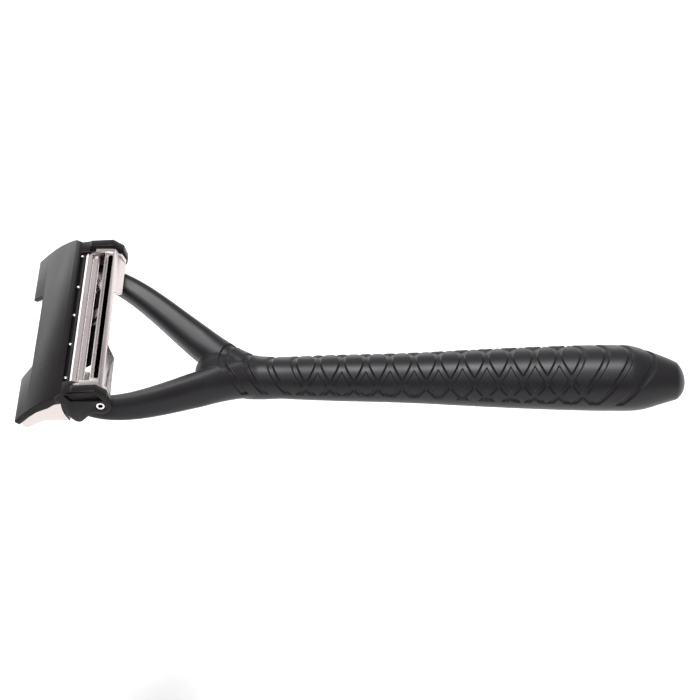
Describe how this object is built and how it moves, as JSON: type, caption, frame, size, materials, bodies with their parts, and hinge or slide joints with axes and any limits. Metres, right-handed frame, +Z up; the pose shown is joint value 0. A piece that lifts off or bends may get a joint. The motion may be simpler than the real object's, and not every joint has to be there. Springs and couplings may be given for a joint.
{
  "type": "tilting-head safety razor",
  "caption": "Metal safety razor with a patterned handle, a fork, a tilting head and a hinged cap that clamps half double-edge blades.",
  "frame": {"origin": "middle of the razor's box, on the plane that the handle's belly touches", "axes": "+X along the handle towards its free end, Y along the blades, +Z up out of the head's shaving face"},
  "size_m": [0.1534, 0.0538, 0.0288],
  "materials": {
    "satin_black_handle": "satin",
    "black_cap": "satin",
    "black_plastic": "matte",
    "bright_steel": "satin",
    "blade_steel": "polished",
    "screw_steel": "satin",
    "magnet_nickel": "polished",
    "bronze": "satin"
  },
  "bodies": {
    "handle": {"handle": "satin_black_handle", "pivot_pin_left": "screw_steel", "pivot_pin_right": "screw_steel", "pivot_clip_left": "screw_steel", "pivot_clip_right": "screw_steel", "return_spring_left": "screw_steel", "return_spring_right": "screw_steel"},
    "head": {"head_base": "bright_steel", "pivot_bush_left": "bronze", "pivot_bush_right": "bronze", "magnet_left": "magnet_nickel", "magnet_right": "magnet_nickel", "blade_first": "blade_steel", "blade_second": "blade_steel", "blade_third": "blade_steel", "lower_shelf": "bright_steel", "upper_shelf": "bright_steel", "under_cover": "black_plastic", "cover_screws": "screw_steel", "hinge_screw_left": "screw_steel", "hinge_screw_right": "screw_steel"},
    "lid": {"cap": "black_cap", "clamp_bar": "black_cap", "clamp_pins": "bright_steel"},
    "lock": {"lock_knob": "black_cap", "lock_cam": "screw_steel", "lock_screw": "screw_steel", "lock_washer": "bright_steel"}
  },
  "joints": [
    {"name": "head_pivot", "type": "hinge", "parent": "handle", "child": "head", "pos_m": [-0.06261, 0, 0.02085], "axis": [0, -1, 0], "range_deg": [0, 35], "stiffness_Nm_per_rad": 0.02, "springref_deg": -34.38, "deforming": ["return_spring_left", "return_spring_right"]},
    {"name": "cap_hinge", "type": "hinge", "parent": "head", "child": "lid", "pos_m": [-0.05741, 0, 0.02395], "axis": [0, 1, 0], "range_deg": [0, 100]},
    {"name": "lock_turn", "type": "hinge", "parent": "head", "child": "lock", "pos_m": [-0.06544, 0, 0.02009], "axis": [-0.5, 0, 0.866], "range_deg": [0, 90]}
  ]
}
